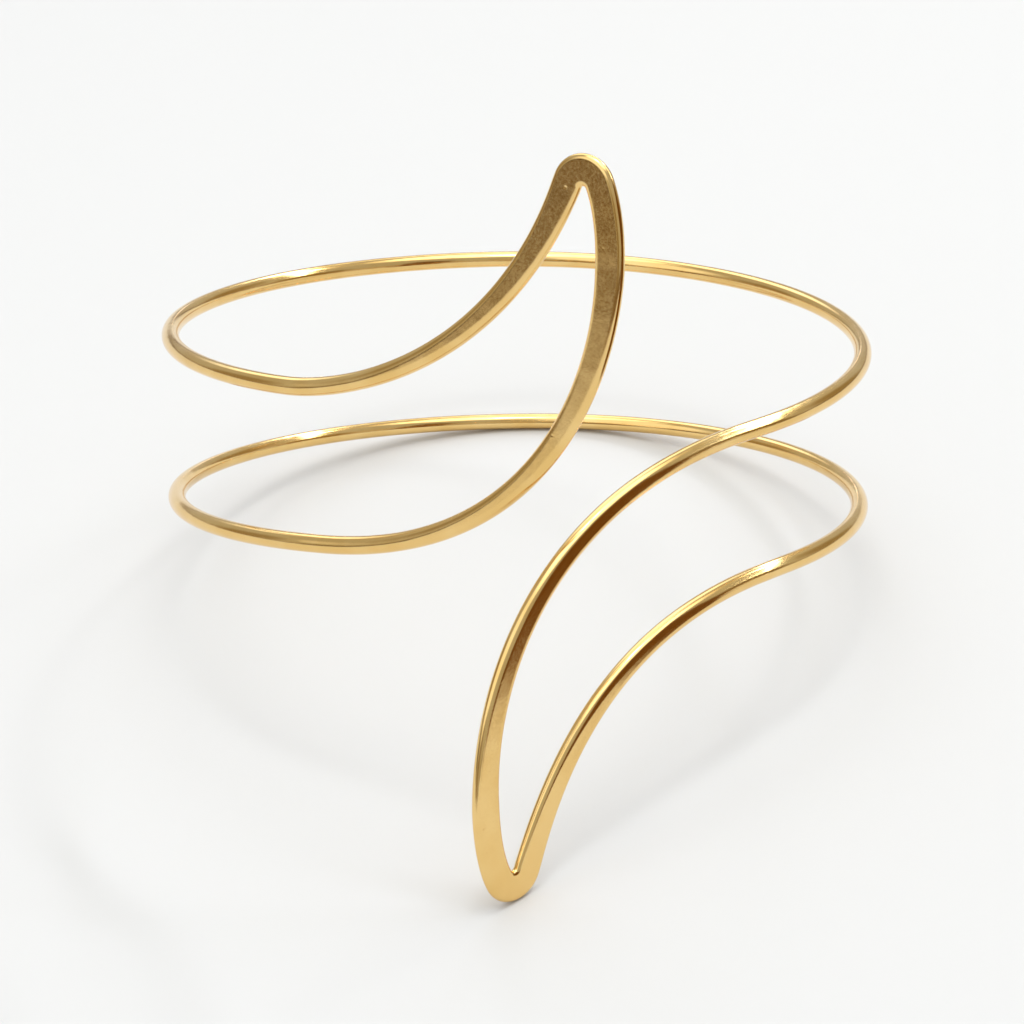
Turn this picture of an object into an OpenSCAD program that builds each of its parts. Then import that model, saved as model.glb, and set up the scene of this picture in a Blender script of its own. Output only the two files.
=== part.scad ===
// Upper arm cuff: one closed loop of wire. Two strands run side by side round the
// arm, and in front each end of the loop is a narrow leaf, one up and one down.
// At the leaves the round wire is pressed flat. The cuff stands as it rests by
// itself, on the tip of its lower leaf and on the back of its lower strand.

/* [Arm] */
// Inside diameter of the round back
inner_d = 86; // [72:1:104]
// Angle from the back to where each side leaves the round and runs straight
round_angle = 143; // [130:1:150]
// Spacing of the two strands at the back, between their centre lines
strand_gap = 23.8; // [16:0.1:30]

/* [Wire] */
// Diameter of the wire where it is round
wire_d = 2.2; // [1.8:0.1:2.6]
// Thickness of the wire where it is pressed flat at the upper leaf
upper_pressed_t = 1.15; // [0.9:0.05:1.4]
// Thickness of the wire where it is pressed flat at the lower leaf
lower_pressed_t = 1.1; // [0.9:0.05:1.4]
// Wire length from the middle of a bend to the end of the press on its near arm
near_press = 42; // [25:1:60]
// Wire length from the middle of a bend to the end of the press on its far arm
far_press = 60; // [30:1:80]

/* [Leaves] */
// Height of the upper leaf's tip above the middle plane
upper_tip = 43.3; // [36:0.1:50]
// Depth of the lower leaf's tip below the middle plane
lower_tip = 42.3; // [36:0.1:50]
// Straight run from the end of the round to the middle of the upper leaf's bend
upper_run = 38.1; // [32:0.1:46]
// Straight run from the end of the round to the middle of the lower leaf's bend
lower_run = 38.9; // [32:0.1:46]
// Radius inside the bend at a leaf's tip
bend_inner_r = 0.4; // [0.3:0.1:1.2]

/* [Hidden] */

// Sides of the wire's section, and steps along a bend and along each stretch
SIDES = 16;
BEND_STEPS = 12;
STRETCH_STEPS = [24, 22, 26, 30];

// The wire lies on a sleeve round the arm. Its flat pattern has the way round
// the arm, u, from the back, and the height, v, from the middle plane.
sleeve_r = (inner_d + wire_d) / 2;
round_u = sleeve_r * round_angle * PI / 180;
half_gap = strand_gap / 2;

// Pressing keeps the area of the section, so a thinner wire is a wider one.
function flats(t) = PI * (wire_d * wire_d - t * t) / (4 * t);

// The upper and the lower leaf at their bends: how far each arm leans from
// upright, and its pull as a share of the height of the bend.
// [tip height, straight run, pressed thickness, near lean, far lean, near pull, far pull]
LEAVES = [
    [upper_tip, upper_run, upper_pressed_t, 23, 21.5, 0.58, 0.31],
    [lower_tip, lower_run, lower_pressed_t, 21.5, 30, 0.28, 0.21],
];
// The upper and the lower strand on the round, each from the leaf that it meets
// on its near arm. Way round and pulls are shares of round_u, and heights are
// shares of half the gap.
// [way round, height, slope in degrees, pull before, pull after]
STRANDS = [
    [
        [-0.975, 1.065, -2.7, 0.09, 0.13],
        [ 0.000, 1.000,  0.0, 0.23, 0.29],
        [ 1.025, 0.555, -4.1, 0.28, 0.40],
    ],
    [
        [-0.955, 0.935, -1.1, 0.27, 0.20],
        [ 0.000, 1.000,  0.0, 0.13, 0.37],
        [ 1.010, 0.500, -4.5, 0.34, 0.34],
    ],
];
// Share of each pressed run that keeps its full press: near arm, far arm
FULL_PRESS_SHARES = [0.08, 0.2];

// A leaf's bend in the flat pattern, with its leaf up and to the left
function heading(a) = [cos(a), sin(a)];
function pressed_w(leaf) = leaf[2] + flats(leaf[2]);
function bend_r(leaf) = bend_inner_r + pressed_w(leaf) / 2;
function tip_r(leaf) = bend_inner_r + pressed_w(leaf);
function bend_v(leaf) = leaf[0] - tip_r(leaf);
function bend_u(leaf) = round_u + leaf[1];
function bend_at(leaf, a) = [-bend_u(leaf), bend_v(leaf)] + bend_r(leaf) * heading(a);
function bend_turn(leaf) = 180 - leaf[3] - leaf[4];
function half_bend(leaf) = bend_r(leaf) * bend_turn(leaf) * PI / 360;
function bend(leaf) = [for (i = [0 : BEND_STEPS - 1])
    bend_at(leaf, 180 - leaf[4] - bend_turn(leaf) * i / BEND_STEPS)];

// Knots of a strand: [point, direction, pull before, pull after]
function near_knot(leaf) =
    [bend_at(leaf, leaf[3]), heading(leaf[3] - 90), 0, leaf[5] * bend_v(leaf)];
function round_knot(k) =
    [[k[0] * round_u, k[1] * half_gap], heading(k[2]), k[3] * round_u, k[4] * round_u];
function far_knot(leaf) =
    [-bend_at(leaf, 180 - leaf[4]), -heading(90 - leaf[4]), leaf[6] * bend_v(leaf), 0];

// Points of the curve from knot a to knot b, without b itself
function stretch(a, b, steps) = let (
    p = a[0], q = a[0] + a[3] * a[1], r = b[0] - b[2] * b[1], s = b[0])
    [for (i = [0 : steps - 1]) let (t = i / steps, m = 1 - t)
        m * m * m * p + 3 * m * m * t * q + 3 * m * t * t * r + t * t * t * s];

// Half of the loop: the bend of one leaf, then its strand to the bend of the other
function half(n) = let (
    knots = concat([near_knot(LEAVES[n])], [for (k = STRANDS[n]) round_knot(k)],
        [far_knot(LEAVES[1 - n])]))
    concat(bend(LEAVES[n]), [for (k = [0 : len(knots) - 2])
        each stretch(knots[k], knots[k + 1], STRETCH_STEPS[k])]);

// Thickness of the wire at a length s from the middle of a leaf's bend
function pressed(leaf, s, run, full) =
    leaf[2] + (wire_d - leaf[2]) * min(1, max(0, (s / run - full) / (1 - full)));
// Wire length from the start of a path to each of its points
function lengths(path) = [for (i = 0, s = 0; i < len(path);
    s = i + 1 < len(path) ? s + norm(path[i + 1] - path[i]) : s, i = i + 1) s];
function half_thickness(n) = let (
    path = concat(half(n), [far_knot(LEAVES[1 - n])[0]]),
    run = lengths(path),
    start = half_bend(LEAVES[n]),
    end = run[len(run) - 1] + half_bend(LEAVES[1 - n]))
    [for (i = [0 : len(path) - 2]) min(
        pressed(LEAVES[n], abs(run[i] - start), near_press, FULL_PRESS_SHARES[0]),
        pressed(LEAVES[1 - n], end - run[i], far_press, FULL_PRESS_SHARES[1]))];

// The lower half is set in the loop by a half turn about the front axis.
LOOP = concat(half(0), -half(1));
THICKNESS = concat(half_thickness(0), half_thickness(1));
COUNT = len(LOOP);

// Rolling the flat pattern onto the sleeve: an arc, then straight in front
function sleeve_angle(u) = min(round_angle, max(-round_angle, u / sleeve_r * 180 / PI));
function sleeve_out(u) = let (a = sleeve_angle(u)) [sin(a), cos(a), 0];
function sleeve_point(p) = let (a = sleeve_angle(p.x), past = p.x - a * sleeve_r * PI / 180)
    [sleeve_r * sin(a) + past * cos(a), sleeve_r * cos(a) - past * sin(a), p.y];

// Section of the wire: two flats, and round edges whose radius is half the thickness
function section(t) = [for (k = [0 : SIDES - 1]) let (a = (k + 0.5) * 360 / SIDES)
    [sign(cos(a)) * flats(t) / 2 + t / 2 * cos(a), t / 2 * sin(a)]];

CENTRES = [for (p = LOOP) sleeve_point(p)];
function ring(i) = let (
    along = CENTRES[(i + 1) % COUNT] - CENTRES[(i + COUNT - 1) % COUNT],
    out = sleeve_out(LOOP[i].x),
    across = cross(out, along) / norm(cross(out, along)))
    [for (q = section(THICKNESS[i])) CENTRES[i] + q.x * across + q.y * out];

// At rest the floor touches the round tip of the lower leaf and the back of the
// lower strand, to the right of its middle, since the tip stands to the left. The
// cuff leans back that way, by the slope of their common tangent.
rest_turn = 9;
rest_way = [sin(rest_turn), cos(rest_turn), 0];
rest_span = sleeve_r - sleeve_point([bend_u(LEAVES[1]), 0]) * rest_way;
rest_drop = bend_v(LEAVES[1]) - half_gap;
rest_lean = atan2(rest_drop, rest_span)
    + asin((tip_r(LEAVES[1]) - wire_d / 2) / norm([rest_span, rest_drop]));
function leaned(p) = let (
    back = p * rest_way,
    moved = back * cos(rest_lean) + p.z * sin(rest_lean))
    [p.x, p.y, 0] + (moved - back) * rest_way
    + [0, 0, p.z * cos(rest_lean) - back * sin(rest_lean)];

SKIN = [for (i = [0 : COUNT - 1]) each [for (p = ring(i)) leaned(p)]];
function spot(i, k) = (i % COUNT) * SIDES + k % SIDES;
FACES = [for (i = [0 : COUNT - 1], k = [0 : SIDES - 1]) each [
    [spot(i, k), spot(i + 1, k), spot(i + 1, k + 1)],
    [spot(i, k), spot(i + 1, k + 1), spot(i, k + 1)]]];

// The origin is on the floor, below the middle of the cuff.
function middle(values) = (min(values) + max(values)) / 2;
middle_x = middle([for (p = SKIN) p.x]);
middle_y = middle([for (p = SKIN) p.y]);
floor_z = min([for (p = SKIN) p.z]);

// The closed loop of wire
module cuff_wire() {
    color([0.86, 0.68, 0.36])
        translate([-middle_x, -middle_y, -floor_z]) polyhedron(points = SKIN, faces = FACES);
}

cuff_wire();
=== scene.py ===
"""Looks of the upper arm cuff: one loop of gold-plated brass wire, pressed flat at its two leaves.

The wire follows the same rule as the part's source, with finer steps, in millimetres until it is
set in the shared frame, which is in metres.
"""

import logging
import math
from dataclasses import dataclass, field
from enum import Enum

import bpy
import numpy as np
from mathutils import Matrix, Vector


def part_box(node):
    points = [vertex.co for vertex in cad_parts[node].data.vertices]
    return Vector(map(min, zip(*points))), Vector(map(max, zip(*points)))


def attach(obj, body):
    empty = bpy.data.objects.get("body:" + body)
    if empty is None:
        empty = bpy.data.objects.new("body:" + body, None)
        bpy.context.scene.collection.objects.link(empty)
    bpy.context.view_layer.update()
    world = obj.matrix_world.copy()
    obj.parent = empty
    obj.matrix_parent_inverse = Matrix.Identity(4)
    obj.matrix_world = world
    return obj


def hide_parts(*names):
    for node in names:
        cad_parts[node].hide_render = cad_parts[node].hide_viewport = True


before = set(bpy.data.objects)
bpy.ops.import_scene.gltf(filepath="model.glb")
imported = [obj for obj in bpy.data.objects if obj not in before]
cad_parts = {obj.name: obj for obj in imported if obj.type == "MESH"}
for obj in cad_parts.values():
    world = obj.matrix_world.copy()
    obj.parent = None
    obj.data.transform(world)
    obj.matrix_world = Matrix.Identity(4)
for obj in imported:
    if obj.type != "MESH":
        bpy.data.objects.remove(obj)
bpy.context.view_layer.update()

LOG = logging.getLogger("upper_arm_cuff")
MM = 0.001

# Blender's names of the nodes that are used most, and the places of a colour mix's sockets
MATH = "ShaderNodeMath"
VECTOR_MATH = "ShaderNodeVectorMath"
MAP_RANGE = "ShaderNodeMapRange"
MIX = "ShaderNodeMix"
MIX_SHARE, MIX_FIRST, MIX_SECOND, MIX_RESULT = 0, 6, 7, 2


def linear_colour(hex_code: str) -> tuple[float, float, float, float]:
    """Turn an sRGB hex value into linear colour.

    Args:
        hex_code: The colour as six hex digits after a hash.

    Returns:
        Linear red, green and blue, then a full fourth channel.
    """
    parts = [int(hex_code[i : i + 2], 16) / 255 for i in (1, 3, 5)]
    bent = [c / 12.92 if c <= 0.04045 else ((c + 0.055) / 1.055) ** 2.4 for c in parts]
    return (*bent, 1.0)


def add_node(
    tree: bpy.types.NodeTree, kind: str, inputs: dict | tuple = (), **settings
) -> bpy.types.Node:
    """Add a node with its settings, values and links.

    Args:
        tree: The tree that gets the node.
        kind: Blender's name of the node's type.
        inputs: What goes into the inputs, in their order or by their name or place: a value, an
            output socket, or a node, which gives its first output.
        **settings: Properties of the node, such as its operation.

    Returns:
        The new node.
    """
    node = tree.nodes.new(kind)
    for name, setting in settings.items():
        setattr(node, name, setting)
    given = inputs if isinstance(inputs, dict) else dict(enumerate(inputs))
    for key, value in given.items():
        if isinstance(value, bpy.types.Node):
            value = value.outputs[0]
        if isinstance(value, bpy.types.NodeSocket):
            tree.links.new(value, node.inputs[key])
        else:
            node.inputs[key].default_value = value
    return node


def bare_material(name: str) -> bpy.types.Material:
    """Make a material whose node tree is still empty.

    Args:
        name: What the real material is and how its surface was made.

    Returns:
        The new material.
    """
    material = bpy.data.materials.new(name)
    material.use_nodes = True
    material.node_tree.nodes.clear()
    return material


def towards(azimuth: float, elevation: float) -> Vector:
    """Give a direction from the cuff.

    Args:
        azimuth: Angle in degrees from straight behind the cuff towards its right.
        elevation: Angle in degrees above the floor.

    Returns:
        The unit vector of the direction.
    """
    turn, rise = math.radians(azimuth), math.radians(elevation)
    level = math.cos(rise)
    return Vector((math.sin(turn) * level, math.cos(turn) * level, math.sin(rise)))


class Side(Enum):
    """The two leaves, each named for where its tip points."""

    UPPER = 0
    LOWER = 1


@dataclass(frozen=True)
class Leaf:
    """One leaf at its bend, in the flat pattern.

    The tip's height, the straight run before the bend and the pressed thickness are in mm. The
    arms lean from upright by degrees, and their pulls are shares of the bend's height.
    """

    tip: float
    run: float
    pressed_t: float
    near_lean: float
    far_lean: float
    near_pull: float
    far_pull: float


@dataclass(frozen=True)
class Knot:
    """One knot of a strand on the round.

    Way round and pulls are shares of the round's half length, the height is a share of half the
    gap between the strands, and the slope is in degrees.
    """

    way: float
    height: float
    slope: float
    pull_before: float
    pull_after: float


@dataclass(frozen=True)
class Bend:
    """A point of a path with its direction and the pulls of its two handles, in mm."""

    point: np.ndarray
    heading: np.ndarray
    pull_before: float
    pull_after: float


def heading(angle: float) -> np.ndarray:
    """Give the unit vector of the flat pattern at an angle in degrees."""
    return np.array([math.cos(math.radians(angle)), math.sin(math.radians(angle))])


def stretch(start: Bend, end: Bend, steps: int) -> np.ndarray:
    """Give the points of the curve from one knot to the next, without the last.

    Args:
        start: The knot that the curve leaves.
        end: The knot that it reaches.
        steps: Number of points.

    Returns:
        One row for each point.
    """
    t = (np.arange(steps) / steps)[:, None]
    corners = [
        start.point,
        start.point + start.pull_after * start.heading,
        end.point - end.pull_before * end.heading,
        end.point,
    ]
    weights = [(1 - t) ** 3, 3 * (1 - t) ** 2 * t, 3 * (1 - t) * t**2, t**3]
    return sum(w * c for w, c in zip(weights, corners))


@dataclass
class CuffWire:
    """The whole cuff: a closed loop of wire on a sleeve round the arm.

    Lengths are in mm and angles in degrees. The press of each arm ends at a length of wire from
    the middle of the bend, near_press or far_press, and is full along a first share of it. The
    edge_fade says how fast a flat gives way to the round edge beside it.
    """

    inner_d: float = 86.0
    round_angle: float = 143.0
    strand_gap: float = 23.8
    wire_d: float = 2.2
    near_press: float = 42.0
    far_press: float = 60.0
    bend_inner_r: float = 0.4
    rest_turn: float = 9.0
    near_full: float = 0.08
    far_full: float = 0.20
    edge_fade: float = 3.0
    bend_steps: int = 48
    stretch_steps: tuple[int, ...] = (150, 140, 160, 190)
    section_points: int = 64
    leaves: dict[Side, Leaf] = field(
        default_factory=lambda: {
            Side.UPPER: Leaf(43.3, 38.1, 1.15, 23, 21.5, 0.58, 0.31),
            Side.LOWER: Leaf(42.3, 38.9, 1.1, 21.5, 30, 0.28, 0.21),
        }
    )
    strands: dict[Side, tuple[Knot, ...]] = field(
        default_factory=lambda: {
            Side.UPPER: (
                Knot(-0.975, 1.065, -2.7, 0.09, 0.13),
                Knot(0.000, 1.000, 0.0, 0.23, 0.29),
                Knot(1.025, 0.555, -4.1, 0.28, 0.40),
            ),
            Side.LOWER: (
                Knot(-0.955, 0.935, -1.1, 0.27, 0.20),
                Knot(0.000, 1.000, 0.0, 0.13, 0.37),
                Knot(1.010, 0.500, -4.5, 0.34, 0.34),
            ),
        }
    )

    def __post_init__(self) -> None:
        """Work out the sizes that follow from the driving ones."""
        self.sleeve_r = (self.inner_d + self.wire_d) / 2
        self.round_u = self.sleeve_r * math.radians(self.round_angle)
        self.half_gap = self.strand_gap / 2

    def flats(self, thickness: float) -> float:
        """Give the width of the flats at a thickness, from the area that pressing keeps."""
        return math.pi * (self.wire_d**2 - thickness**2) / (4 * thickness)

    def bend_r(self, leaf: Leaf) -> float:
        """Give the radius of a bend's centre line."""
        return self.bend_inner_r + (leaf.pressed_t + self.flats(leaf.pressed_t)) / 2

    def tip_r(self, leaf: Leaf) -> float:
        """Give the radius outside a bend."""
        return self.bend_inner_r + leaf.pressed_t + self.flats(leaf.pressed_t)

    def bend_height(self, leaf: Leaf) -> float:
        """Give the height of a bend's centre from the middle plane."""
        return leaf.tip - self.tip_r(leaf)

    def half_bend(self, leaf: Leaf) -> float:
        """Give the wire length of half of a leaf's bend."""
        return self.bend_r(leaf) * math.radians(180 - leaf.near_lean - leaf.far_lean) / 2

    def on_bend(self, leaf: Leaf, angle: float) -> np.ndarray:
        """Give the point of a bend's centre line at an angle, with its leaf up and to the left."""
        centre = np.array([-(self.round_u + leaf.run), self.bend_height(leaf)])
        return centre + self.bend_r(leaf) * heading(angle)

    def half(self, side: Side) -> tuple[np.ndarray, np.ndarray]:
        """Follow one leaf's bend and its strand to the bend of the other leaf.

        Args:
            side: The leaf that the path starts at, which it sees as up and to the left.

        Returns:
            The points of the flat pattern, and the wire's thickness at each.
        """
        own = self.leaves[side]
        other = self.leaves[Side(1 - side.value)]
        turn = 180 - own.near_lean - own.far_lean
        bend = [
            self.on_bend(own, 180 - own.far_lean - turn * i / self.bend_steps)
            for i in range(self.bend_steps)
        ]
        near_handle = own.near_pull * self.bend_height(own)
        far_handle = other.far_pull * self.bend_height(other)
        start = self.on_bend(own, own.near_lean)
        end = -self.on_bend(other, 180 - other.far_lean)
        knots = [Bend(start, heading(own.near_lean - 90), 0, near_handle)]
        for k in self.strands[side]:
            place = np.array([k.way * self.round_u, k.height * self.half_gap])
            handles = k.pull_before * self.round_u, k.pull_after * self.round_u
            knots.append(Bend(place, heading(k.slope), *handles))
        knots.append(Bend(end, -heading(90 - other.far_lean), far_handle, 0))
        pieces = [np.array(bend)]
        pieces += [stretch(a, b, n) for a, b, n in zip(knots, knots[1:], self.stretch_steps)]
        path = np.vstack(pieces)
        closed = np.vstack([path, end])
        run = np.concatenate([[0], np.cumsum(np.linalg.norm(np.diff(closed, axis=0), axis=1))])
        from_own = np.abs(run[:-1] - self.half_bend(own))
        to_other = run[-1] + self.half_bend(other) - run[:-1]
        near_side = self.pressed(own, from_own, self.near_press, self.near_full)
        far_side = self.pressed(other, to_other, self.far_press, self.far_full)
        return path, np.minimum(near_side, far_side)

    def pressed(self, leaf: Leaf, length: np.ndarray, reach: float, full: float) -> np.ndarray:
        """Give the wire's thickness at lengths from the middle of a leaf's bend.

        Args:
            leaf: The leaf whose press it is.
            length: Wire lengths from the middle of the bend.
            reach: Wire length at which the press ends.
            full: Part of that reach which keeps its full press.

        Returns:
            One thickness for each length.
        """
        share = np.clip((length / reach - full) / (1 - full), 0, 1)
        return leaf.pressed_t + (self.wire_d - leaf.pressed_t) * share

    def rest_pose(self) -> Matrix:
        """Work out how the cuff leans back where it rests on the floor.

        It touches the floor with the round tip of its lower leaf and with the back of its lower
        strand, to the right of the middle, since the tip stands to the left.

        Returns:
            The turn from upright to the pose at rest.
        """
        lower = self.leaves[Side.LOWER]
        turn = math.radians(self.rest_turn)
        way = np.array([math.sin(turn), math.cos(turn), 0.0])
        end = self.rolled(np.array([[self.round_u + lower.run, 0.0]]))[0][0]
        span = self.sleeve_r - end @ way
        drop = self.bend_height(lower) - self.half_gap
        lean = math.atan2(drop, span) + math.asin(
            (self.tip_r(lower) - self.wire_d / 2) / math.hypot(span, drop)
        )
        return Matrix.Rotation(-lean, 3, Vector((way[1], -way[0], 0.0)))

    def rolled(self, flat: np.ndarray) -> tuple[np.ndarray, np.ndarray]:
        """Roll points of the flat pattern onto the sleeve: an arc, then straight in front.

        Args:
            flat: Way round the arm and height, one row for each point.

        Returns:
            The points, and the outward direction of the sleeve at each.
        """
        limit = math.radians(self.round_angle)
        angle = np.clip(flat[:, 0] / self.sleeve_r, -limit, limit)
        past = flat[:, 0] - angle * self.sleeve_r
        sine, cosine = np.sin(angle), np.cos(angle)
        x = self.sleeve_r * sine + past * cosine
        y = self.sleeve_r * cosine - past * sine
        points = np.stack([x, y, flat[:, 1]], axis=1)
        return points, np.stack([sine, cosine, np.zeros(len(flat))], axis=1)

    def rail(self) -> bpy.types.Object:
        """Make the wire's centre line, with the values that its section needs at each point.

        Returns:
            A mesh of one closed chain of edges, in metres, as the cuff leans at rest.
        """
        upper, upper_t = self.half(Side.UPPER)
        lower, lower_t = self.half(Side.LOWER)
        centre, out = self.rolled(np.vstack([upper, -lower]))
        thickness = np.concatenate([upper_t, lower_t])
        along = np.roll(centre, -1, axis=0) - np.roll(centre, 1, axis=0)
        across = np.cross(out, along)
        across /= np.linalg.norm(across, axis=1, keepdims=True)
        lean = np.array(self.rest_pose())
        centre, out, across = (v @ lean.T for v in (centre, out, across))
        mesh = bpy.data.meshes.new("wire_rail")
        count = len(centre)
        links = [(i, (i + 1) % count) for i in range(count)]
        mesh.from_pydata((centre * MM).tolist(), links, [])
        for name, values in (("out", out), ("across", across)):
            layer = mesh.attributes.new(name, "FLOAT_VECTOR", "POINT")
            layer.data.foreach_set("vector", values.astype(np.float32).ravel())
        layer = mesh.attributes.new("thickness", "FLOAT", "POINT")
        layer.data.foreach_set("value", (thickness * MM).astype(np.float32))
        rail = bpy.data.objects.new("wire_rail", mesh)
        bpy.context.collection.objects.link(rail)
        return rail

    def press_tree(self) -> bpy.types.NodeTree:
        """Build the Geometry Nodes tree that presses a wire along its rail.

        Returns:
            The tree, whose inputs are the rail, the wire's diameter, the points of its section
            and its material.
        """
        tree = bpy.data.node_groups.new("pressed_wire", "GeometryNodeTree")
        for name, kind in (
            ("Rail", "NodeSocketGeometry"),
            ("Wire Diameter", "NodeSocketFloat"),
            ("Section Points", "NodeSocketInt"),
            ("Finish", "NodeSocketMaterial"),
        ):
            tree.interface.new_socket(name, in_out="INPUT", socket_type=kind)
        tree.interface.new_socket("Wire", in_out="OUTPUT", socket_type="NodeSocketGeometry")
        given = add_node(tree, "NodeGroupInput").outputs

        # A ring of points goes along the rail. Each remembers its share of the way round the
        # ring, and the place on the rail that it belongs to.
        skin = add_node(tree, "GeometryNodeMeshToCurve", {"Mesh": given["Rail"]})
        skin = add_node(
            tree,
            "GeometryNodeStoreNamedAttribute",
            {"Geometry": skin, "Name": "centre", "Value": add_node(tree, "GeometryNodeInputPosition")},
            data_type="FLOAT_VECTOR",
            domain="POINT",
        )
        ring = add_node(
            tree, "GeometryNodeCurvePrimitiveCircle", {"Resolution": given["Section Points"]}
        )
        index = add_node(tree, "GeometryNodeInputIndex")
        middle = add_node(tree, MATH, (index, 0.5), operation="ADD")
        share = add_node(tree, MATH, (middle, given["Section Points"]), operation="DIVIDE")
        ring = add_node(
            tree,
            "GeometryNodeStoreNamedAttribute",
            {"Geometry": ring, "Name": "share_round", "Value": share},
            data_type="FLOAT",
            domain="POINT",
        )
        skin = add_node(tree, "GeometryNodeCurveToMesh", {"Curve": skin, "Profile Curve": ring})
        values = {"wire_d": given["Wire Diameter"]}
        for name, kind in (
            ("thickness", "FLOAT"),
            ("share_round", "FLOAT"),
            ("centre", "FLOAT_VECTOR"),
            ("across", "FLOAT_VECTOR"),
            ("out", "FLOAT_VECTOR"),
        ):
            values[name] = add_node(
                tree, "GeometryNodeInputNamedAttribute", {"Name": name}, data_type=kind
            ).outputs["Attribute"]

        # Each point walks its share of the section's outline, which starts in the middle of a
        # round edge: a quarter turn, a flat, a half turn, the other flat and a quarter turn.
        # Every line names a value and says how it comes from the values above it.
        for name, operation, *terms in (
            ("wire_square", "MULTIPLY", "wire_d", "wire_d"),
            ("own_square", "MULTIPLY", "thickness", "thickness"),
            ("pressed_out", "SUBTRACT", "wire_square", "own_square"),
            ("flat_area", "MULTIPLY", "pressed_out", math.pi / 4),
            ("flat", "DIVIDE", "flat_area", "thickness"),
            ("quarter", "MULTIPLY", "thickness", math.pi / 4),
            ("half_turn", "MULTIPLY", "quarter", 2.0),
            ("full_turn", "MULTIPLY", "quarter", 4.0),
            ("both_flats", "MULTIPLY", "flat", 2.0),
            ("outline", "ADD", "both_flats", "full_turn"),
            ("gone", "MULTIPLY", "share_round", "outline"),
            ("past_quarter", "SUBTRACT", "gone", "quarter"),
            ("past_flat", "SUBTRACT", "past_quarter", "flat"),
            ("past_half_turn", "SUBTRACT", "past_flat", "half_turn"),
            ("past_other_flat", "SUBTRACT", "past_half_turn", "flat"),
            ("first_turn", "MAXIMUM", "gone", 0.0),
            ("first_turn", "MINIMUM", "first_turn", "quarter"),
            ("first_flat", "MAXIMUM", "past_quarter", 0.0),
            ("first_flat", "MINIMUM", "first_flat", "flat"),
            ("edge_turn", "MAXIMUM", "past_flat", 0.0),
            ("edge_turn", "MINIMUM", "edge_turn", "half_turn"),
            ("other_flat", "MAXIMUM", "past_half_turn", 0.0),
            ("other_flat", "MINIMUM", "other_flat", "flat"),
            ("last_turn", "MAXIMUM", "past_other_flat", 0.0),
            ("last_turn", "MINIMUM", "last_turn", "quarter"),
            ("turns", "ADD", "first_turn", "edge_turn"),
            ("turns", "ADD", "turns", "last_turn"),
            ("twice", "MULTIPLY", "turns", 2.0),
            ("angle", "DIVIDE", "twice", "thickness"),
            ("cosine", "COSINE", "angle"),
            ("sine", "SINE", "angle"),
            ("radius", "MULTIPLY", "thickness", 0.5),
            ("half_flat", "MULTIPLY", "flat", 0.5),
            ("on_flats", "SUBTRACT", "first_flat", "other_flat"),
            ("from_middle", "SUBTRACT", "half_flat", "on_flats"),
            ("edge_out", "MULTIPLY", "radius", "cosine"),
            ("sideways", "ADD", "from_middle", "edge_out"),
            ("upwards", "MULTIPLY", "radius", "sine"),
            ("kept", "DIVIDE", "thickness", "wire_d"),
            ("press", "SUBTRACT", 1.0, "kept"),
            ("off_flat", "ABSOLUTE", "cosine"),
            ("off_flat", "MULTIPLY", "off_flat", self.edge_fade),
        ):
            inputs = tuple(values.get(term, term) for term in terms)
            values[name] = add_node(tree, MATH, inputs, operation=operation)
        on_flat = add_node(tree, MATH, (1.0, values["off_flat"]), operation="SUBTRACT", use_clamp=True)

        moves = tuple(
            add_node(tree, VECTOR_MATH, {0: values[way], "Scale": values[size]}, operation="SCALE")
            for way, size in (("across", "sideways"), ("out", "upwards"))
        )
        offset = add_node(tree, VECTOR_MATH, moves, operation="ADD")
        place = add_node(tree, VECTOR_MATH, (values["centre"], offset), operation="ADD")
        skin = add_node(tree, "GeometryNodeSetPosition", {"Geometry": skin, "Position": place})

        # The plate's material reads how far the wire is pressed, and where its flats are.
        for name, value in (("press", values["press"]), ("on_flat", on_flat)):
            skin = add_node(
                tree,
                "GeometryNodeStoreNamedAttribute",
                {"Geometry": skin, "Name": name, "Value": value},
                data_type="FLOAT",
                domain="POINT",
            )
        skin = add_node(tree, "GeometryNodeSetShadeSmooth", {"Geometry": skin})
        skin = add_node(tree, "GeometryNodeRealizeInstances", {"Geometry": skin})
        skin = add_node(
            tree, "GeometryNodeSetMaterial", {"Geometry": skin, "Material": given["Finish"]}
        )
        add_node(tree, "NodeGroupOutput", {"Wire": skin})
        return tree

    def build(self, finish: bpy.types.Material) -> bpy.types.Object:
        """Make the wire's skin and set it where the CAD node stands.

        Args:
            finish: The material of the wire.

        Returns:
            The finished piece, a plain mesh.
        """
        rail = self.rail()
        tree = self.press_tree()
        sweep = rail.modifiers.new("pressed_wire", "NODES")
        sweep.node_group = tree
        values = {
            "Wire Diameter": self.wire_d * MM,
            "Section Points": self.section_points,
            "Finish": finish,
        }
        for socket in tree.interface.items_tree:
            if socket.name in values:
                sweep[socket.identifier] = values[socket.name]
        graph = bpy.context.evaluated_depsgraph_get()
        mesh = bpy.data.meshes.new_from_object(
            rail.evaluated_get(graph), preserve_all_data_layers=True, depsgraph=graph
        )
        mesh.name = "gold_wire_loop"
        rail.modifiers.remove(sweep)
        bpy.data.objects.remove(rail)
        self.set_down(mesh)
        wire = bpy.data.objects.new("gold_wire_loop", mesh)
        bpy.context.collection.objects.link(wire)
        return wire

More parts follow.
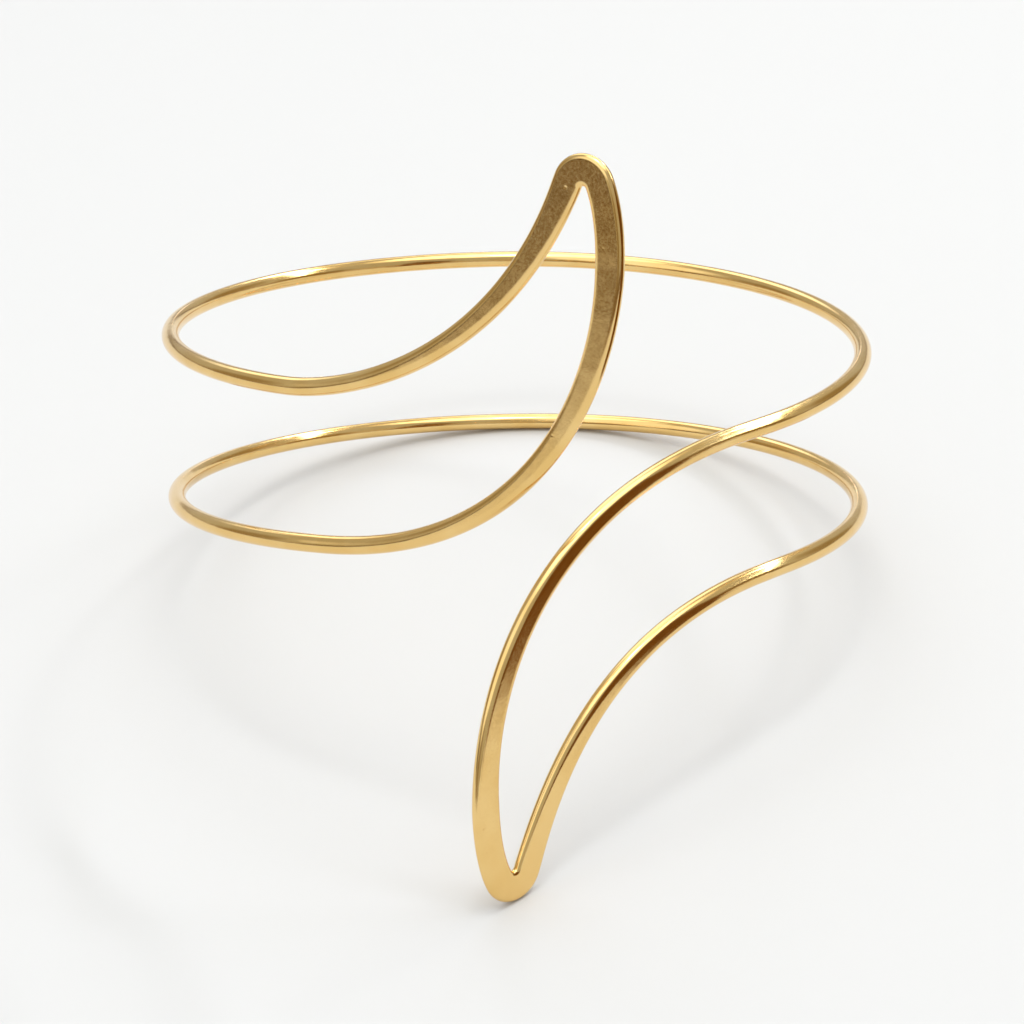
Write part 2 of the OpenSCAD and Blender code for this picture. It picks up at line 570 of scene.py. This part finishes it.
    @staticmethod
    def set_down(mesh: bpy.types.Mesh) -> None:
        """Move a mesh over the CAD node's box: same middle from above, same floor.

        Args:
            mesh: The mesh, in metres.
        """
        places = np.zeros(len(mesh.vertices) * 3, np.float32)
        mesh.vertices.foreach_get("co", places)
        places = places.reshape(-1, 3)
        low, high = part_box("cuff_wire")
        middle = (places.min(0) + places.max(0)) / 2
        shift = [(low[i] + high[i]) / 2 - middle[i] for i in (0, 1)]
        shift.append(low[2] - places[:, 2].min())
        mesh.vertices.foreach_set("co", (places + np.array(shift, np.float32)).ravel())
        mesh.update()


@dataclass(frozen=True)
class GoldPlate:
    """Gold plate on brass wire: drawn and polished where round, pressed and satin where flat.

    Sizes, heights and depths of the marks are in mm. The satin sets in as the press takes a
    share of the wire's thickness, from the first to the second of satin_press. A nick's side
    runs from the first to the second of nick_edge, in shares of the nicks' spacing. Most of a
    noise's values lie in its usual range.
    """

    gold: str = "#F0CC88"
    deep_gold: str = "#E9C27A"
    tone_size: float = 6.0
    round_roughness: float = 0.15
    flat_roughness: float = 0.19
    satin_press: tuple[float, float] = (0.04, 0.34)
    peel_size: float = 0.30
    peel_height: float = 0.0036
    peel_on_round: float = 0.12
    peel_gloss: float = 0.04
    wave_size: float = 3.2
    wave_height: float = 0.030
    nick_spacing: float = 2.4
    nick_depth: float = 0.018
    nick_edge: tuple[float, float] = (0.05, 0.11)
    noise_roughness: float = 0.55
    usual: tuple[float, float] = (0.35, 0.65)

    def material(self) -> bpy.types.Material:
        """Build the plate's material.

        Returns:
            A material that reads the wire's own attributes.
        """
        plate = bare_material("gold_plate_polished_and_pressed")
        tree = plate.node_tree
        place = add_node(tree, "ShaderNodeTexCoord").outputs["Object"]
        press, on_flat = (
            add_node(tree, "ShaderNodeAttribute", attribute_name=name).outputs["Fac"]
            for name in ("press", "on_flat")
        )
        # Orange peel left by the press, drawn about as coarse as it is in the picture. Slow
        # waves along the hand-bent wire, which make its streaks of light waver. Patches where
        # the plate is a little thicker and deeper in colour.
        peel, wave, tone = (
            add_node(
                tree,
                "ShaderNodeTexNoise",
                {
                    "Vector": place,
                    "Scale": 1 / (size * MM),
                    "Detail": detail,
                    "Roughness": self.noise_roughness,
                },
            )
            for size, detail in ((self.peel_size, 2.0), (self.wave_size, 1.0), (self.tone_size, 2.0))
        )
        # Satin skin where the press met the wire, so the flats mirror the room softly while
        # the round wire between them stays bright and sharp.
        pressed = add_node(tree, MAP_RANGE, (press, *self.satin_press, 0.0, 1.0))
        satin = add_node(tree, MATH, (on_flat, pressed), operation="MULTIPLY")
        # Rare small dents from handling, seen as specks in the flats.
        cell = add_node(
            tree,
            "ShaderNodeTexVoronoi",
            {"Vector": place, "Scale": 1 / (self.nick_spacing * MM), "Randomness": 1.0},
        )
        dent = add_node(tree, MAP_RANGE, (cell, *self.nick_edge, 1.0, 0.0))
        nick = add_node(tree, MATH, (dent, satin), operation="MULTIPLY")

        peel_share = add_node(tree, MAP_RANGE, (satin, 0.0, 1.0, self.peel_on_round, 1.0))
        peel_seen = add_node(tree, MATH, (peel, peel_share), operation="MULTIPLY")
        grain, waves, nicks = (
            add_node(tree, MATH, (mark, size * MM), operation="MULTIPLY")
            for mark, size in (
                (peel_seen, self.peel_height),
                (wave, self.wave_height),
                (nick, self.nick_depth),
            )
        )
        dented = add_node(tree, MATH, (waves, nicks), operation="SUBTRACT")
        height = add_node(tree, MATH, (grain, dented), operation="ADD")
        bump = add_node(
            tree, "ShaderNodeBump", {"Height": height, "Strength": 1.0, "Distance": 1.0}
        )

        base = add_node(
            tree, MAP_RANGE, (satin, 0.0, 1.0, self.round_roughness, self.flat_roughness)
        )
        gloss = add_node(tree, MAP_RANGE, (peel, *self.usual, -self.peel_gloss, self.peel_gloss))
        gloss_seen = add_node(tree, MATH, (gloss, peel_share), operation="MULTIPLY")
        roughness = add_node(tree, MATH, (base, gloss_seen), operation="ADD")
        gold = add_node(
            tree,
            MIX,
            {
                MIX_SHARE: add_node(tree, MAP_RANGE, (tone, *self.usual, 0.0, 1.0)),
                MIX_FIRST: linear_colour(self.gold),
                MIX_SECOND: linear_colour(self.deep_gold),
            },
            data_type="RGBA",
        ).outputs[MIX_RESULT]
        shader = add_node(
            tree,
            "ShaderNodeBsdfPrincipled",
            {"Base Color": gold, "Metallic": 1.0, "Roughness": roughness, "Normal": bump},
        )
        add_node(tree, "ShaderNodeOutputMaterial", {"Surface": shader})
        return plate


@dataclass(frozen=True)
class MattPaint:
    """Matt paint rolled on a board: no gloss at all, so the eye sees only light and shade."""

    board: str
    colour: str

    def material(self) -> bpy.types.Material:
        """Build the paint's material.

        Returns:
            A material without any shine.
        """
        paint = bare_material("matt_paint_of_" + self.board)
        tree = paint.node_tree
        matt = add_node(tree, "ShaderNodeBsdfDiffuse", {"Color": linear_colour(self.colour)})
        add_node(tree, "ShaderNodeOutputMaterial", {"Surface": matt})
        return paint


@dataclass(frozen=True)
class Glow:
    """A patch of the studio's surroundings, far away, with a soft edge.

    Angles are in degrees: azimuth 0 is straight behind the cuff and 90 is to its right. A patch
    is round about its direction, or a bow at the angle that ring gives from it, and fades from
    inner to outer. The light is linear, where 1 is a white wall in full light.
    """

    azimuth: float
    elevation: float
    inner: float
    outer: float
    light: tuple[float, float, float]
    ring: float = 0.0


@dataclass(frozen=True)
class Lamp:
    """An oval soft lamp that faces the cuff, with lengths in mm and power in watts."""

    name: str
    azimuth: float
    elevation: float
    distance: float
    width: float
    height: float
    power: float
    colour: str = "#FFFFFF"


@dataclass
class Studio:
    """Pale floor, soft light and the camera, with lengths in mm and angles in degrees.

    The camera's azimuth is 0 straight in front of the cuff. The horizon is half the height, as a
    share of the distance, over which the room fades to what lies under it.
    """

    focal_px: float = 3000.0
    frame_px: float = 1024.0
    sensor: float = 36.0
    clip: tuple[float, float] = (10.0, 20000.0)
    aim: tuple[float, float, float] = (-2.225, -10.909, 23.945)
    distance: float = 368.79
    azimuth: float = -2.507
    elevation: float = 31.826
    roll: float = -2.420
    floor_sides: tuple[float, float, float, float] = (-760.0, 500.0, -420.0, 700.0)
    floor_colour: str = "#D1D1CF"
    card_x: float = 66.0
    card_sides: tuple[float, float] = (-125.0, -42.0)
    card_height: float = 112.0
    card_colour: str = "#7A5222"
    room: tuple[float, float, float] = (0.52, 0.52, 0.50)
    under: tuple[float, float, float] = (0.15, 0.085, 0.025)
    horizon: float = 0.03
    backdrop: str = "#FAFAF9"
    glows: tuple[Glow, ...] = (
        Glow(0, 90, 22, 37, (2.0, 2.0, 2.0)),
        Glow(-125, 42, 22, 38, (1.30, 1.30, 1.32)),
        Glow(-150, 4, 10, 24, (0.30, 0.24, 0.15)),
        Glow(-113, 3, 5, 13, (0.09, 0.055, 0.018)),
        Glow(-74, 10, 9, 22, (0.34, 0.28, 0.19)),
        Glow(56, 8, 10, 24, (0.34, 0.27, 0.16)),
        Glow(-10, 34, 12, 26, (2.0, 2.1, 2.3)),
        Glow(52, 52, 5, 13, (0.46, 0.43, 0.35)),
        Glow(53, -11.6, 1.2, 2.3, (12.0, 12.5, 14.0), ring=50.6),
        Glow(2, 8, 13, 19, (0.56, 0.55, 0.52)),
        Glow(103, 8, 13, 19, (0.30, 0.24, 0.15)),
        Glow(30, 84, 16, 34, (2.6, 2.6, 2.6)),
    )
    lamp_aim: float = 40.0
    lamps: tuple[Lamp, ...] = (
        Lamp("lamp_above", 90, 88, 500, 90, 90, 0.25),
        Lamp("lamp_right", 49, 40, 700, 110, 60, 0.42),
    )

    def camera(self) -> bpy.types.Object:
        """Make the camera at the photograph's viewing angle.

        Returns:
            The camera's object, which the scene uses.
        """
        data = bpy.data.cameras.new("camera")
        data.sensor_width = self.sensor
        data.lens = self.sensor * self.focal_px / self.frame_px
        data.clip_start, data.clip_end = (length * MM for length in self.clip)
        camera = bpy.data.objects.new("camera", data)
        bpy.context.collection.objects.link(camera)
        back = towards(self.azimuth, self.elevation) * Vector((1, -1, 1))
        turn = (-back).to_track_quat("-Z", "Y").to_matrix()
        turn = turn @ Matrix.Rotation(math.radians(self.roll), 3, "Z")
        place = Vector(self.aim) * MM + back * self.distance * MM
        camera.matrix_world = Matrix.Translation(place) @ turn.to_4x4()
        bpy.context.scene.camera = camera
        return camera

    def board(
        self, name: str, corners: list[tuple[float, float, float]], colour: str
    ) -> bpy.types.Object:
        """Make one flat board of the studio.

        Args:
            name: The name of the board and of its paint.
            corners: The four corners, in metres.
            colour: The colour of its matt paint.

        Returns:
            The board's object.
        """
        mesh = bpy.data.meshes.new(name)
        mesh.from_pydata(corners, [], [(0, 1, 2, 3)])
        mesh.materials.append(MattPaint(name, colour).material())
        board = bpy.data.objects.new(name, mesh)
        bpy.context.collection.objects.link(board)
        return board

    def floor(self) -> bpy.types.Object:
        """Make the plain pale floor.

        Returns:
            The floor's object.
        """
        left, right, front, back = (side * MM for side in self.floor_sides)
        corners = [(left, front, 0), (right, front, 0), (right, back, 0), (left, back, 0)]
        return self.board("floor", corners, self.floor_colour)

    def card(self) -> bpy.types.Object:
        """Make the dark card beside the picture that the right leaf mirrors, without a shadow.

        Returns:
            The card's object.
        """
        front, back = (side * MM for side in self.card_sides)
        x, top = self.card_x * MM, self.card_height * MM
        corners = [(x, front, 0), (x, back, 0), (x, back, top), (x, front, top)]
        card = self.board("dark_card", corners, self.card_colour)
        card.visible_camera = card.visible_diffuse = card.visible_shadow = False
        return card

    def surroundings(self) -> None:
        """Make the room that the metal mirrors: patches of light over a plain room.

        The camera itself sees a plain pale backdrop past the floor's edge.
        """
        world = bpy.data.worlds.new("studio")
        bpy.context.scene.world = world
        world.use_nodes = True
        tree = world.node_tree
        tree.nodes.clear()
        soft = {"interpolation_type": "SMOOTHSTEP"}
        way = add_node(tree, "ShaderNodeTexCoord").outputs["Generated"]
        height = add_node(tree, "ShaderNodeSeparateXYZ", (way,)).outputs["Z"]
        above = add_node(tree, MAP_RANGE, (height, -self.horizon, self.horizon), **soft)
        light = add_node(
            tree,
            MIX,
            {MIX_SHARE: above, MIX_FIRST: (*self.under, 1.0), MIX_SECOND: (*self.room, 1.0)},
            data_type="RGBA",
        ).outputs[MIX_RESULT]
        for glow in self.glows:
            middle = towards(glow.azimuth, glow.elevation)
            near = add_node(tree, VECTOR_MATH, (way, middle), operation="DOT_PRODUCT")
            angle = add_node(tree, MATH, (near.outputs["Value"],), operation="ARCCOSINE")
            past = add_node(tree, MATH, (angle, math.radians(glow.ring)), operation="SUBTRACT")
            off = add_node(tree, MATH, (past,), operation="ABSOLUTE")
            edges = math.radians(glow.inner), math.radians(glow.outer)
            share = add_node(tree, MAP_RANGE, (off, *edges, 1.0, 0.0), **soft)
            light = add_node(
                tree,
                MIX,
                {
                    MIX_SHARE: add_node(tree, MATH, (share, above), operation="MULTIPLY"),
                    MIX_FIRST: light,
                    MIX_SECOND: (*glow.light, 1.0),
                },
                data_type="RGBA",
            ).outputs[MIX_RESULT]
        mirrored = add_node(tree, "ShaderNodeBackground", {"Color": light})
        seen = add_node(tree, "ShaderNodeBackground", {"Color": linear_colour(self.backdrop)})
        direct = add_node(tree, "ShaderNodeLightPath").outputs["Is Camera Ray"]
        mixed = add_node(tree, "ShaderNodeMixShader", (direct, mirrored, seen))
        add_node(tree, "ShaderNodeOutputWorld", {"Surface": mixed})

    def light(self, lamp: Lamp) -> bpy.types.Object:
        """Make one lamp, which faces the middle of the cuff.

        Args:
            lamp: The lamp's place, size and power.

        Returns:
            The lamp's object.
        """
        data = bpy.data.lights.new(lamp.name, "AREA")
        data.shape = "ELLIPSE"
        data.size, data.size_y = lamp.width * MM, lamp.height * MM
        data.energy = lamp.power
        data.color = linear_colour(lamp.colour)[:3]
        way = towards(lamp.azimuth, lamp.elevation)
        turn = way.to_track_quat("Z", "Y").to_matrix()
        place = Vector((0, 0, self.lamp_aim * MM)) + way * lamp.distance * MM
        light = bpy.data.objects.new(lamp.name, data)
        light.matrix_world = Matrix.Translation(place) @ turn.to_4x4()
        bpy.context.collection.objects.link(light)
        return light

    def set_up(self) -> None:
        """Make the floor, the card, the lights and the camera."""
        bpy.context.scene.view_settings.view_transform = "Standard"
        self.floor()
        self.card()
        self.surroundings()
        for lamp in self.lamps:
            self.light(lamp)
        self.camera()


def main() -> None:
    """Build the cuff and its studio, and report each piece."""
    logging.basicConfig(level=logging.INFO, format="%(name)s: %(message)s")
    Studio().set_up()
    wire = CuffWire().build(GoldPlate().material())
    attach(wire, "root")
    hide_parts("cuff_wire")
    LOG.info("%s: %d faces", wire.name, len(wire.data.polygons))


if __name__ == "__main__":
    main()
